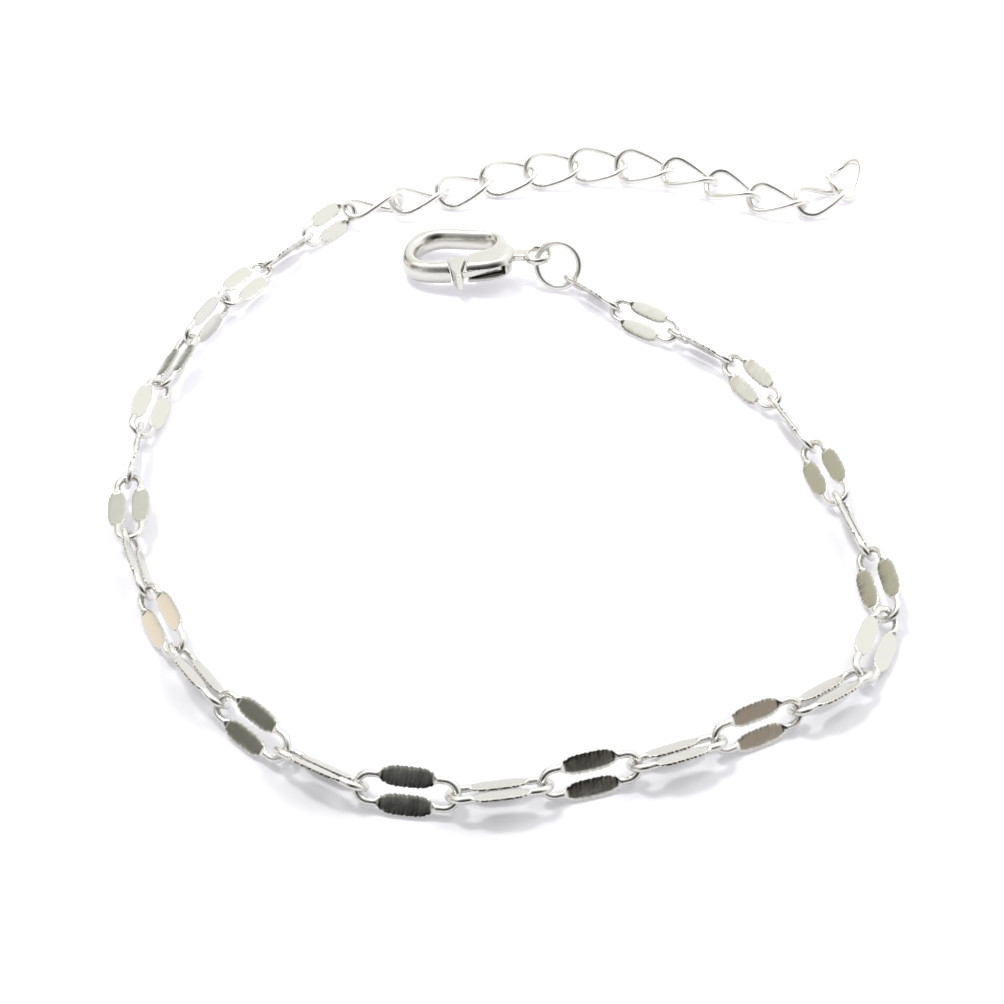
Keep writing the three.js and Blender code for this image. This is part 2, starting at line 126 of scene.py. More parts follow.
# How a link's round wire is pressed flat, as sums over its points: a name, what is done,
# and to which values
PRESSING = [
    # Flat on the pads, round past the ramps
    ("pad half", "MULTIPLY", "Pad Length", 0.5),
    ("ramp end", "ADD", "pad half", "Ramp"),
    ("along", "ABSOLUTE", "x"),
    ("inside", "SUBTRACT", "ramp end", "along"),
    ("ramped", "DIVIDE", "inside", "Ramp"),
    ("capped", "MINIMUM", "ramped", 1.0),
    ("flat", "MAXIMUM", "capped", 0.0),
    # Place in the round section, from -1 to 1 across and up. The factors give the flat faces
    # their width
    ("middle", "MULTIPLY", "Spacing", 0.5),
    ("half wire", "MULTIPLY", "Wire", 0.5),
    ("out", "ABSOLUTE", "y"),
    ("across", "SUBTRACT", "out", "middle"),
    ("share across", "DIVIDE", "across", "half wire"),
    ("stretched across", "MULTIPLY", "share across", 1.3),
    ("wide below", "MINIMUM", "stretched across", 1.0),
    ("wide", "MAXIMUM", "wide below", -1.0),
    ("share up", "DIVIDE", "z", "half wire"),
    ("stretched up", "MULTIPLY", "share up", 2.3),
    ("high below", "MINIMUM", "stretched up", 1.0),
    ("high", "MAXIMUM", "high below", -1.0),
    # A pad is widest in the middle and narrows in a round curve to its ends
    ("run", "DIVIDE", "along", "pad half"),
    ("share along", "MINIMUM", "run", 1.0),
    ("curve", "POWER", "share along", 4.0),
    ("narrowing", "MULTIPLY_ADD", "curve", -0.38, 1.0),
    ("half width", "MULTIPLY", "Pad Width", 0.5),
    ("pad reach", "MULTIPLY", "half width", "narrowing"),
    # Uneven notches, which fade from the edges to the middle
    ("circles", "MULTIPLY", "x", 2 * math.pi),
    ("turns", "DIVIDE", "circles", "Notch Spacing"),
    ("slow turns", "MULTIPLY", "turns", 0.62),
    ("slow wave", "COSINE", "slow turns"),
    ("uneven", "MULTIPLY_ADD", "slow wave", 0.2, 0.5),
    ("quick wave", "COSINE", "turns"),
    ("tooth", "MULTIPLY_ADD", "quick wave", 0.3, "uneven"),
    ("notch", "MULTIPLY", "tooth", "Notch Depth"),
    ("spread", "MULTIPLY", "wide", "wide"),
    ("near edge", "MULTIPLY", "spread", "spread"),
    ("cut", "MULTIPLY", "notch", "near edge"),
    ("edge", "SUBTRACT", "pad reach", "cut"),
    ("pad across", "MULTIPLY", "wide", "edge"),
    # The crown in the middle
    ("arch", "SUBTRACT", 1.0, "spread"),
    ("crown", "MULTIPLY", "Crown", "arch"),
    ("rise", "MULTIPLY_ADD", "Pad Thickness", 0.5, "crown"),
    ("pad up", "MULTIPLY", "high", "rise"),
    # From round to flat
    ("move across", "SUBTRACT", "pad across", "across"),
    ("pressed across", "MULTIPLY_ADD", "move across", "flat", "across"),
    ("pressed out", "ADD", "middle", "pressed across"),
    ("side", "SIGN", "y"),
    ("pressed y", "MULTIPLY", "side", "pressed out"),
    ("move up", "SUBTRACT", "pad up", "z"),
    ("pressed z", "MULTIPLY_ADD", "move up", "flat", "z"),
]

# Silver plate by what lies under it: the size in millimetres of the cells of its unevenness, their
# detail and grain, its least and greatest roughness, and the strength and depth of its relief
SILVER_PLATE = {
    # Polished: bright, with a faint mottle that dulls it in places
    "drawn_wire": {
        "cell": 0.5,
        "detail": 3.0,
        "grain": 0.6,
        "bright": 0.2,
        "dull": 0.34,
        "relief": 0.06,
        "depth": 0.02,
    },
    # Satin, so it takes a soft white light without hard reflections
    "tumbled_wire": {
        "cell": 0.3,
        "detail": 3.0,
        "grain": 0.6,
        "bright": 0.3,
        "dull": 0.42,
        "relief": 0.1,
        "depth": 0.02,
    },
    # Bright, with a slow waviness that breaks up the reflections
    "casting": {
        "cell": 1.2,
        "detail": 2.0,
        "grain": 0.5,
        "bright": 0.18,
        "dull": 0.32,
        "relief": 0.1,
        "depth": 0.1,
    },
}

# Rolled pads, in millimetres: the size and depth of the grit, and of the bends that no two pads
# share. The roller's marks are this share of the grit's depth
ROLLED_PAD = {"grit": 0.12, "grit_depth": 0.01, "bend": 1.2, "bend_depth": 0.04}
ROLLER_MARKS = 0.07

# What the metal sees round it: azimuth from +X towards +Y and elevation of the middle of each soft
# patch, the angles where it is full and where it ends, all in degrees, and its colour
SURROUNDINGS = [
    {"azimuth": 277, "elevation": 24, "full": 10, "gone": 70, "colour": "#0E0F11"},
    {"azimuth": 194, "elevation": 23, "full": 1, "gone": 26, "colour": "#6A6A64"},
    {"azimuth": 169, "elevation": 12, "full": 6, "gone": 14, "colour": "#FFF0E2"},
    {"azimuth": 319, "elevation": 10, "full": 9, "gone": 20, "colour": "#9A8F85"},
    {"azimuth": 143, "elevation": 26, "full": 10, "gone": 26, "colour": "#BEBCAC"},
    {"azimuth": 124, "elevation": 3, "full": 6, "gone": 15, "colour": "#9C9E9C"},
    {"azimuth": 135, "elevation": 10, "full": 4, "gone": 12, "colour": "#3C3C3A"},
    {"azimuth": 114, "elevation": 42, "full": 8, "gone": 18, "colour": "#D6D7D2"},
]

# Stage, in metres and degrees. A light's share is of the key's power
WHITE = "#FFFFFF"
# Colour of the floor's painted glow, which lightens its shadows and gives them a faint lavender tint
GLOW_COLOUR = "#F7F4FC"
FLOOR_SIDE = 1.2
LIGHTS = [
    {"name": "key_left", "place": (-0.15, 0.14, 0.43), "width": 0.08, "share": 1.0},
    {"name": "key_right", "place": (0.18, 0.14, 0.42), "width": 0.16, "share": 0.45},
]
CAMERA = {"place": (-0.0027, -0.0847, 0.0742), "down": 44.4, "sensor": 36.0, "nearest": 0.005}


def linear(hex_colour):
    """An sRGB hex colour as linear red, green, blue and alpha."""
    shares = [int(hex_colour[i : i + 2], 16) / 255 for i in (1, 3, 5)]
    return [s / 12.92 if s <= 0.04045 else ((s + 0.055) / 1.055) ** 2.4 for s in shares] + [1.0]


def size(name, description, millimetres):
    """A length that a user can change."""
    return FloatProperty(
        name=name, description=description, default=millimetres * MM, min=0, precision=5, unit="LENGTH"
    )


def amount(name, description, value):
    """A strength that a user can change."""
    return FloatProperty(name=name, description=description, default=value, min=0)


def tint(name, description, hex_colour):
    """A colour that a user can change."""
    colour = linear(hex_colour)
    return FloatVectorProperty(
        name=name, description=description, default=colour, size=4, min=0, max=1, subtype="COLOR"
    )


class LinkSizes(bpy.types.PropertyGroup):
    """Main links: an oval of wire with two sides pressed flat"""

    wire: size("Wire", "Diameter of a link's wire", 0.48)
    spacing: size("Spacing", "Between the middles of the two long sides", 1.66)
    pad_length: size("Pad length", "Length of a flattened side", 3.1)
    pad_width: size("Pad width", "Width of a flattened side", 1.32)
    pad_thickness: size("Pad thickness", "Thickness of a flattened side", 0.14)
    crown: size("Crown", "How far the middle of a flattened side stands over its edges", 0.02)
    ramp: size("Ramp", "Length over which round wire goes flat", 0.24)
    notch_spacing: size("Notch spacing", "Between two notches of the roller on a pad's edge", 0.27)
    notch_depth: size("Notch depth", "Depth of a notch", 0.08)


class CurbSizes(bpy.types.PropertyGroup):
    """Curb links: plain ovals with a twist"""

    wire: size("Wire", "Diameter of a curb link's wire", 0.6)
    spacing: size("Spacing", "Between the middles of the two long sides", 3.0)
    twist: FloatProperty(
        name="Twist",
        description="Turn from end to end",
        default=-math.pi / 2,
        subtype="ANGLE",
        unit="ROTATION",
    )


class RingSizes(bpy.types.PropertyGroup):
    """Jump ring"""

    wire: size("Wire", "Diameter of the ring's wire", 0.55)
    radius: size("Radius", "Radius to the middle of the wire", 1.85)
    split: size("Split", "Gap between the ring's two ends", 0.05)


class ClaspSizes(bpy.types.PropertyGroup):
    """Cast clasp"""

    rounding: size("Rounding", "Depth of the bulge of the outer sides", 0.66)
    flare: size("Flare", "Depth of the bulge of the slot's sides", 0.62)
    grain: size("Grain", "Size of the cells that round off the casting", 0.06)
    polish: IntProperty(name="Polish", description="Passes of smoothing", default=7, min=0)


class Finishes(bpy.types.PropertyGroup):
    """Colours of the silver plate"""

    wire: tint("Wire", "Polished silver plate on drawn wire", "#D9D8D4")
    pad: tint("Pad", "Rolled silver plate on the flattened sides", "#D0CFC7")
    tumbled: tint("Tumbled wire", "Silver plate on the extender and the ring", "#E4E3DE")
    casting: tint("Casting", "Silver plate on the cast clasp", "#D4D3CD")


class StageLook(bpy.types.PropertyGroup):
    """Floor, light and camera"""

    floor: tint("Floor", "Plain pale floor", "#D8D8DB")
    # The floor's glow is painted light: emission that lightens its shadows, weaker in front and stronger at the
    # back
    glow_front: amount("Glow in front", "Light that comes through the floor in front", 0.14)
    glow_back: amount("Glow at the back", "Light that comes through the floor at the back", 0.5)
    sky: amount("Sky", "Strength of the light from all round", 1.35)
    key: amount("Key", "Power in watts of the light behind on the left", 0.9)
    lens: FloatProperty(
        name="Lens", description="Focal length", default=52.7, min=1, subtype="DISTANCE_CAMERA"
    )


class BraceletSettings(bpy.types.PropertyGroup):
    """Everything that a user can change"""

    links: PointerProperty(type=LinkSizes)
    curbs: PointerProperty(type=CurbSizes)
    ring: PointerProperty(type=RingSizes)
    clasp: PointerProperty(type=ClaspSizes)
    finishes: PointerProperty(type=Finishes)
    stage: PointerProperty(type=StageLook)


# Nodes
def add_node(tree, kind, inputs=None, **settings):
    """Adds a node. An input is a value, a socket, or a node whose first output is taken."""
    node = tree.nodes.new(kind)
    for name, value in settings.items():
        setattr(node, name, value)
    for key, value in (inputs or {}).items():
        if isinstance(value, bpy.types.Node):
            value = value.outputs[0]
        if isinstance(value, bpy.types.NodeSocket):
            tree.links.new(value, node.inputs[key])
        else:
            node.inputs[key].default_value = value
    return node


def shape_tree(name, inputs):
    """An empty Geometry Nodes tree with named inputs, and its group input's sockets by name."""
    tree = bpy.data.node_groups.new(name, "GeometryNodeTree")
    tree.interface.new_socket("Frames", in_out="INPUT", socket_type="NodeSocketGeometry")
    for label, kind in inputs.items():
        tree.interface.new_socket(label, in_out="INPUT", socket_type="NodeSocket" + kind)
    tree.interface.new_socket("Geometry", in_out="OUTPUT", socket_type="NodeSocketGeometry")
    group = add_node(tree, "NodeGroupInput")
    return tree, {socket.name: socket for socket in group.outputs if socket.name}


def cleared_material(name):
    """The material of that name with an empty node tree, which every finish starts from."""
    material = bpy.data.materials.get(name) or bpy.data.materials.new(name)
    material.use_nodes = True
    material.node_tree.nodes.clear()
    return material, material.node_tree


# Finishes
def plated_silver(surface, colour):
    """Silver plate whose row in the table says how bright and how even it is."""
    material, tree = cleared_material("silver_plate_" + surface)
    row = SILVER_PLATE[surface]
    place = add_node(tree, "ShaderNodeTexCoord").outputs["Object"]
    cells = {"Scale": 1 / (row["cell"] * MM), "Detail": row["detail"], "Roughness": row["grain"]}
    uneven = add_node(tree, "ShaderNodeTexNoise", {"Vector": place, **cells})
    gloss = add_node(
        tree, "ShaderNodeMapRange", {"Value": uneven, "To Min": row["bright"], "To Max": row["dull"]}
    )
    bump = add_node(
        tree,
        "ShaderNodeBump",
        {"Height": uneven, "Strength": row["relief"], "Distance": row["depth"] * MM},
    )
    shader = add_node(
        tree,
        "ShaderNodeBsdfPrincipled",
        {"Base Color": colour, "Metallic": 1.0, "Roughness": gloss, "Normal": bump},
    )
    add_node(tree, "ShaderNodeOutputMaterial", {"Surface": shader})
    return material


def rolled_silver(colour, mark_spacing):
    """Silver plate rolled flat: satin, with fine roller marks across each pad and a little grit."""
    material, tree = cleared_material("silver_plate_rolled_pad")
    place = add_node(tree, "ShaderNodeAttribute", attribute_name="link_place").outputs["Vector"]
    # A wave texture has 20 / 2 pi bands in a unit
    bands = 2 * math.pi / 20 / mark_spacing
    marks = add_node(
        tree,
        "ShaderNodeTexWave",
        {"Vector": place, "Scale": bands, "Distortion": 3.0, "Detail": 2.0},
        bands_direction="X",
    )
    grit = add_node(
        tree,
        "ShaderNodeTexNoise",
        {"Vector": place, "Scale": 1 / (ROLLED_PAD["grit"] * MM), "Detail": 4.0, "Roughness": 0.7},
    )
    relief = add_node(
        tree, "ShaderNodeMath", {0: marks, 1: ROLLER_MARKS, 2: grit}, operation="MULTIPLY_ADD"
    )
    gloss = add_node(tree, "ShaderNodeMapRange", {"Value": grit, "To Min": 0.1, "To Max": 0.24})
    # No two pads are quite flat, so each takes its reflection from a slightly different side
    spot = add_node(tree, "ShaderNodeTexCoord").outputs["Object"]
    bend = add_node(
        tree,
        "ShaderNodeTexNoise",
        {"Vector": spot, "Scale": 1 / (ROLLED_PAD["bend"] * MM), "Detail": 1.0},
    )
    bent = add_node(
        tree,
        "ShaderNodeBump",
        {"Height": bend, "Strength": 1.0, "Distance": ROLLED_PAD["bend_depth"] * MM},
    )
    grit_depth = ROLLED_PAD["grit_depth"] * MM
    bump = add_node(
        tree,
        "ShaderNodeBump",
        {"Height": relief, "Strength": 0.6, "Distance": grit_depth, "Normal": bent},
    )
    shader = add_node(
        tree,
        "ShaderNodeBsdfPrincipled",
        {"Base Color": colour, "Metallic": 1.0, "Roughness": gloss, "Normal": bump},
    )
    add_node(tree, "ShaderNodeOutputMaterial", {"Surface": shader})
    return material


def card_with_painted_glow(colour, front, back):
    """Matt white card that glows with painted light, faint in front and strong at the back, so its shadows pale to
    the back. It mirrors nothing.
    """
    material, tree = cleared_material("white_card_with_painted_glow")
    place = add_node(tree, "ShaderNodeTexCoord").outputs["Object"]
    depth = add_node(tree, "ShaderNodeSeparateXYZ", {0: place}).outputs["Y"]
    # Painted glow: emission that lightens the floor's shadows, more at the back than in front
    glow = add_node(
        tree,
        "ShaderNodeMapRange",
        {
            "Value": depth,
            "From Min": CAD_BOX[0][1],
            "From Max": CAD_BOX[1][1],
            "To Min": front,
            "To Max": back,
        },
    )
    shader = add_node(
        tree,
        "ShaderNodeBsdfPrincipled",
        {
            "Base Color": colour,
            "Roughness": 0.9,
            "Specular IOR Level": 0.1,
            "Emission Color": linear(GLOW_COLOUR),
            "Emission Strength": glow,
        },
    )
    add_node(tree, "ShaderNodeOutputMaterial", {"Surface": shader})
    return material


# Places read from the solids
def places_of(node):
    """The corners of a solid, each once."""
    places = np.array([vertex.co for vertex in frame["nodes"][node].data.vertices])
    return np.unique(places.round(7), axis=0)


def axes_of(node):
    """The middle of a symmetric solid and its axes as columns: X its longest spread, Z its least."""
    places = places_of(node)
    middle = places.mean(axis=0)
    axes = np.linalg.eigh(np.cov((places - middle).T))[1]
    along, across = Vector(axes[:, 2]), Vector(axes[:, 1])
    return middle, Matrix((along, across, along.cross(across))).transposed()


def reach_of(nodes, wire):
    """Half the length of a link's middle line, from the first solid's spread along its X axis."""
    middle, axes = axes_of(nodes[0])
    along = (places_of(nodes[0]) - middle) @ np.array(axes.col[0])
    return (along.max() - along.min() - wire) / 2


def frames_mesh(name, placed):
    """A point for each middle, with its axes kept as a turn."""
    mesh = bpy.data.meshes.new(name)
    mesh.from_pydata([middle for middle, axes in placed], [], [])
    turns = mesh.attributes.new("turn", "QUATERNION", "POINT")
    values = [value for middle, axes in placed for value in axes.to_quaternion()]
    turns.data.foreach_set("value", values)
    return mesh


def clasp_matrix():
    """From the clasp's own frame in millimetres to the bracelet's, by the hinge and the mount."""
    hinge = next(joint for joint in frame["joints"] if joint["child"] == LEVER_BODY)
    mount = frame["record"]["mounts"][0]
    up = -Vector(hinge["axis"])
    pivot = Vector((PIVOT["x"], PIVOT["y"], CLASP_HEIGHT / 2))
    local = Vector(MOUNT_POINT) - pivot
    world = Vector(mount["pos_m"]) - Vector(hinge["pos_m"])
    level = (world - up * world.dot(up)).normalized()
    angle = math.atan2(local.y, local.x)
    along = level * math.cos(angle) + level.cross(up) * math.sin(angle)
    turn = Matrix((along, up.cross(along), up)).transposed().to_4x4()
    return Matrix.Translation(hinge["pos_m"]) @ turn @ Matrix.Scale(MM, 4) @ Matrix.Translation(-pivot)


# Making meshes
def linked(name, mesh):
    """An object in the scene that shows a mesh."""
    piece = bpy.data.objects.new(name, mesh)
    bpy.context.scene.collection.objects.link(piece)
    return piece


def evaluated_mesh(carrier):
    """The plain mesh that an object's modifiers give. The modifiers go."""
    depsgraph = bpy.context.evaluated_depsgraph_get()
    source = carrier.evaluated_get(depsgraph)
    mesh = bpy.data.meshes.new_from_object(source, preserve_all_data_layers=True, depsgraph=depsgraph)
    carrier.modifiers.clear()
    return mesh


def grown(name, tree, frames, values):
    """A piece from a node tree, with its inputs set by identifier before it is first evaluated."""
    piece = linked(name, frames)
    modifier = piece.modifiers.new("Shape", "NODES")
    modifier.node_group = tree
    for item in tree.interface.items_tree:
        if item.in_out == "INPUT" and item.name in values:
            modifier[item.identifier] = values[item.name]
    piece.data = evaluated_mesh(piece)
    piece.data.name = name
    return piece


def settle(piece, body, slot, *nodes):
    """Hangs a piece under the empty of its body and hides the solids that it stands for. The slot, which names its
    finish, is not used.
    """
    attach(piece, body)
    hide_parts(*nodes)


# Shapes by nodes
def oval_path(tree, reach, spacing, count):
    """Nodes for an oval path in the XY plane: a circle pulled apart along X, in even steps."""
    radius = add_node(tree, "ShaderNodeMath", {0: spacing, 1: 0.5}, operation="MULTIPLY")
    circle = add_node(
        tree, "GeometryNodeCurvePrimitiveCircle", {"Resolution": OVAL_STEPS, "Radius": radius}
    )
    position = add_node(tree, "GeometryNodeInputPosition")
    x = add_node(tree, "ShaderNodeSeparateXYZ", {0: position}).outputs["X"]
    side = add_node(tree, "ShaderNodeMath", {0: x}, operation="SIGN")
    straight = add_node(tree, "ShaderNodeMath", {0: reach, 1: radius}, operation="SUBTRACT")
    shift = add_node(tree, "ShaderNodeMath", {0: side, 1: straight}, operation="MULTIPLY")
    offset = add_node(tree, "ShaderNodeCombineXYZ", {"X": shift})
    pulled = add_node(tree, "GeometryNodeSetPosition", {"Geometry": circle, "Offset": offset})
    even = add_node(tree, "GeometryNodeResampleCurve", {"Curve": pulled, "Count": count}, mode="COUNT")
    return add_node(tree, "GeometryNodeSetCurveNormal", {"Curve": even}, mode="Z_UP")


def round_wire(tree, path, wire, sides):
    """Nodes that sweep a round wire along a path."""
    radius = add_node(tree, "ShaderNodeMath", {0: wire, 1: 0.5}, operation="MULTIPLY")
    section = add_node(
        tree, "GeometryNodeCurvePrimitiveCircle", {"Resolution": sides, "Radius": radius}
    )
    return add_node(
        tree, "GeometryNodeCurveToMesh", {"Curve": path, "Profile Curve": section, "Fill Caps": True}
    )


def placed_copies(tree, frames, shape):
    """Nodes that put a smooth-shaded shape on every frame and make it plain geometry."""
    smooth = add_node(
        tree, "GeometryNodeSetShadeSmooth", {0: shape, "Shade Smooth": True}, domain="FACE"
    )
    angle = add_node(tree, "GeometryNodeInputMeshEdgeAngle")
    crease = add_node(
        tree, "FunctionNodeCompare", {0: angle, 1: math.radians(CREASE)}, operation="GREATER_THAN"
    )
    sharp = add_node(
        tree,
        "GeometryNodeSetShadeSmooth",
        {0: smooth, "Selection": crease, "Shade Smooth": False},
        domain="EDGE",
    )
    turn = add_node(tree, "GeometryNodeInputNamedAttribute", {"Name": "turn"}, data_type="QUATERNION")
    copies = add_node(
        tree, "GeometryNodeInstanceOnPoints", {"Points": frames, "Instance": sharp, "Rotation": turn}
    )
    return add_node(tree, "GeometryNodeRealizeInstances", {0: copies})


def link_tree():
    """Main link: a round wire whose two long sides are flattened into pads with notched edges."""
    sizes = ("Reach", "Wire", "Spacing", "Pad Length", "Pad Width", "Pad Thickness", "Crown")
    sizes += ("Ramp", "Notch Spacing", "Notch Depth")
    inputs = {label: "Float" for label in sizes}
    inputs |= {"Wire Finish": "Material", "Pad Finish": "Material"}
    tree, given = shape_tree("pressed_link", inputs)
    path = oval_path(tree, given["Reach"], given["Spacing"], LINK_STEPS["path"])
    wire = round_wire(tree, path, given["Wire"], LINK_STEPS["sides"])

    position = add_node(tree, "GeometryNodeInputPosition")
    x, y, z = add_node(tree, "ShaderNodeSeparateXYZ", {0: position}).outputs
    values = {**given, "x": x, "y": y, "z": z}
    for name, operation, *terms in PRESSING:
        terms = {i: values[term] if isinstance(term, str) else term for i, term in enumerate(terms)}
        values[name] = add_node(tree, "ShaderNodeMath", terms, operation=operation)
    pressed_place = add_node(
        tree, "ShaderNodeCombineXYZ", {"X": x, "Y": values["pressed y"], "Z": values["pressed z"]}
    )
    marked = add_node(
        tree,
        "GeometryNodeStoreNamedAttribute",
        {"Geometry": wire, "Name": "pad", "Value": values["flat"]},
        data_type="FLOAT",
    )
    pressed = add_node(tree, "GeometryNodeSetPosition", {"Geometry": marked, "Position": pressed_place})
    link_place = add_node(tree, "GeometryNodeInputPosition")
    kept = add_node(
        tree,
        "GeometryNodeStoreNamedAttribute",
        {"Geometry": pressed, "Name": "link_place", "Value": link_place},
        data_type="FLOAT_VECTOR",
    )
    chain = placed_copies(tree, given["Frames"], kept)
    plated = add_node(
        tree, "GeometryNodeSetMaterial", {"Geometry": chain, "Material": given["Wire Finish"]}
    )
    pad = add_node(tree, "GeometryNodeInputNamedAttribute", {"Name": "pad"}, data_type="FLOAT")
    on_pad = add_node(tree, "FunctionNodeCompare", {0: pad, 1: PAD_FROM}, operation="GREATER_THAN")
    rolled = add_node(
        tree,
        "GeometryNodeSetMaterial",
        {"Geometry": plated, "Selection": on_pad, "Material": given["Pad Finish"]},
    )
    add_node(tree, "NodeGroupOutput", {0: rolled})
    return tree


def curb_tree():
    """Curb link: a round wire oval twisted about its length."""
    inputs = {label: "Float" for label in ("Reach", "Wire", "Spacing", "Twist")}
    inputs |= {"Finish": "Material"}
    tree, given = shape_tree("curb_link", inputs)
    path = oval_path(tree, given["Reach"], given["Spacing"], CURB_STEPS["path"])
    wire = round_wire(tree, path, given["Wire"], CURB_STEPS["sides"])
    position = add_node(tree, "GeometryNodeInputPosition")
    x = add_node(tree, "ShaderNodeSeparateXYZ", {0: position}).outputs["X"]
    share = add_node(tree, "ShaderNodeMath", {0: x, 1: given["Reach"]}, operation="DIVIDE")
    half_twist = add_node(tree, "ShaderNodeMath", {0: given["Twist"], 1: 0.5}, operation="MULTIPLY")
    angle = add_node(tree, "ShaderNodeMath", {0: share, 1: half_twist}, operation="MULTIPLY")
    turned = add_node(
        tree, "ShaderNodeVectorRotate", {"Vector": position, "Angle": angle}, rotation_type="X_AXIS"
    )
    twisted = add_node(tree, "GeometryNodeSetPosition", {"Geometry": wire, "Position": turned})
    chain = placed_copies(tree, given["Frames"], twisted)
    plated = add_node(tree, "GeometryNodeSetMaterial", {"Geometry": chain, "Material": given["Finish"]})
    add_node(tree, "NodeGroupOutput", {0: plated})
    return tree


def ring_tree():
    """Jump ring: round wire bent nearly shut, with its two cut ends side by side."""
    inputs = {"Radius": "Float", "Wire": "Float", "Split": "Float", "Finish": "Material"}
    tree, given = shape_tree("jump_ring", inputs)
    gap = add_node(tree, "ShaderNodeMath", {0: given["Split"], 1: given["Radius"]}, operation="DIVIDE")
    sweep = add_node(tree, "ShaderNodeMath", {0: 2 * math.pi, 1: gap}, operation="SUBTRACT")
    arc = add_node(
        tree,
        "GeometryNodeCurveArc",
        {
            "Resolution": RING_STEPS["path"],
            "Radius": given["Radius"],
            "Start Angle": math.radians(RING_CUT),
            "Sweep Angle": sweep,
        },
    )
    upright = add_node(tree, "GeometryNodeSetCurveNormal", {"Curve": arc}, mode="Z_UP")
    wire = round_wire(tree, upright, given["Wire"], RING_STEPS["sides"])
    ring = placed_copies(tree, given["Frames"], wire)
    plated = add_node(tree, "GeometryNodeSetMaterial", {"Geometry": ring, "Material": given["Finish"]})
    add_node(tree, "NodeGroupOutput", {0: plated})
    return tree


# Shapes of the clasp, in millimetres
def side_points(rows):
    """Points along one side of the clasp, from the nose up to its end at the eye."""
    steps = 14
    points = []
    start = Vector((0, 0, 0))
    for row in rows:
        near, far, end = (Vector((*row[key], 0)) for key in ("near", "far", "end"))
        points += interpolate_bezier(start, near, far, end, steps)[:-1]
        start = end
    return [(point.x, point.y) for point in points + [start]]


def clasp_outline():
    """The clasp's outline as points, anticlockwise from the nose."""
    return side_points(CLASP_FRONT) + side_points(CLASP_SPINE)[-2:0:-1]


def arc_points(x, y, radius, first, last, steps):
    """Points on an arc, by its first and last angle in degrees."""
    angles = np.radians(np.linspace(first, last, steps))
    return [(x + radius * math.cos(a), y + radius * math.sin(a)) for a in angles]


def swing_points(radius, first, last):
    """Points on the hook's side of an arc about the pivot, from one Y to another."""
    angles = [180 + math.degrees(math.asin((PIVOT["y"] - y) / radius)) for y in (first, last)]
    return arc_points(PIVOT["x"], PIVOT["y"], radius, *angles, steps=13)


def slot_outline():
    """A round end in the hook and a smaller one by the eye, joined by straight lines."""
    across, up = SLOT_EYE["x"] - SLOT_HOOK["x"], SLOT_EYE["y"] - SLOT_HOOK["y"]
    along = math.degrees(math.atan2(up, across))
    narrowing = SLOT_HOOK["radius"] - SLOT_EYE["radius"]
    spread = math.degrees(math.acos(narrowing / math.hypot(across, up)))
    eye = arc_points(**SLOT_EYE, first=along - spread, last=along + spread, steps=17)
    hook = arc_points(**SLOT_HOOK, first=along + spread, last=along - spread + 360, steps=25)
    return eye + hook


def rounded_layers(low, high, radius):
    """Heights and outsets of a solid's layers, whose sides bulge in half an oval a radius deep."""
    steps = 14
    turns = [math.pi * step / steps for step in range(steps + 1)]
    half = (high - low) / 2
    return [(low + half * (1 - math.cos(turn)), radius * (math.sin(turn) - 1)) for turn in turns]


def flared_layers(low, high, radius):
    """The same for a cut, which widens at both faces and runs past them."""
    middle = [(height, -outset) for height, outset in rounded_layers(low, high, radius)]
    return [(low - OVERCUT, radius)] + middle + [(high + OVERCUT, radius)]


def layered_solid(outline, layers):
    """A closed solid from an outline: a ring of points for each height, moved out by its outset."""
    points = np.array(outline)
    tangents = np.roll(points, -1, axis=0) - np.roll(points, 1, axis=0)
    normals = np.column_stack((tangents[:, 1], -tangents[:, 0]))
    normals /= np.linalg.norm(normals, axis=1)[:, None]
    shape = bmesh.new()
    rings = []
    for height, outset in layers:
        rings.append([shape.verts.new((x, y, height)) for x, y in points + normals * outset])
    for low, high in zip(rings, rings[1:]):
        for i in range(len(points)):
            shape.faces.new((low[i - 1], low[i], high[i], high[i - 1]))
    shape.faces.new(list(reversed(rings[0])))
    shape.faces.new(rings[-1])
    return shape


def box_solid(low, high):
    """A box between two corners."""
    outline = [(low[0], low[1]), (high[0], low[1]), (high[0], high[1]), (low[0], high[1])]
    return layered_solid(outline, [(low[2], 0), (high[2], 0)])


def eye_solid():
    """The eye: a ring with an oval section."""
    shape = bmesh.new()
    around, section = 48, 16
    rings = []
    for i in range(around):
        turn = 2 * math.pi * i / around
        ring = []
        for j in range(section):
            angle = 2 * math.pi * j / section
            radius = EYE["radius"] + EYE["half_width"] * math.cos(angle)
            height = CLASP_HEIGHT / 2 + EYE["half_height"] * math.sin(angle)
            place = (EYE["x"] + radius * math.cos(turn), radius * math.sin(turn), height)
            ring.append(shape.verts.new(place))
        rings.append(ring)
    for i in range(around):
        for j in range(section):
            shape.faces.new((rings[i - 1][j - 1], rings[i][j - 1], rings[i][j], rings[i - 1][j]))
    return shape


def mesh_of(shape, name):
    """A shape under work as a mesh. The shape is freed."""
    mesh = bpy.data.meshes.new(name)
    shape.to_mesh(mesh)
    shape.free()
    return mesh


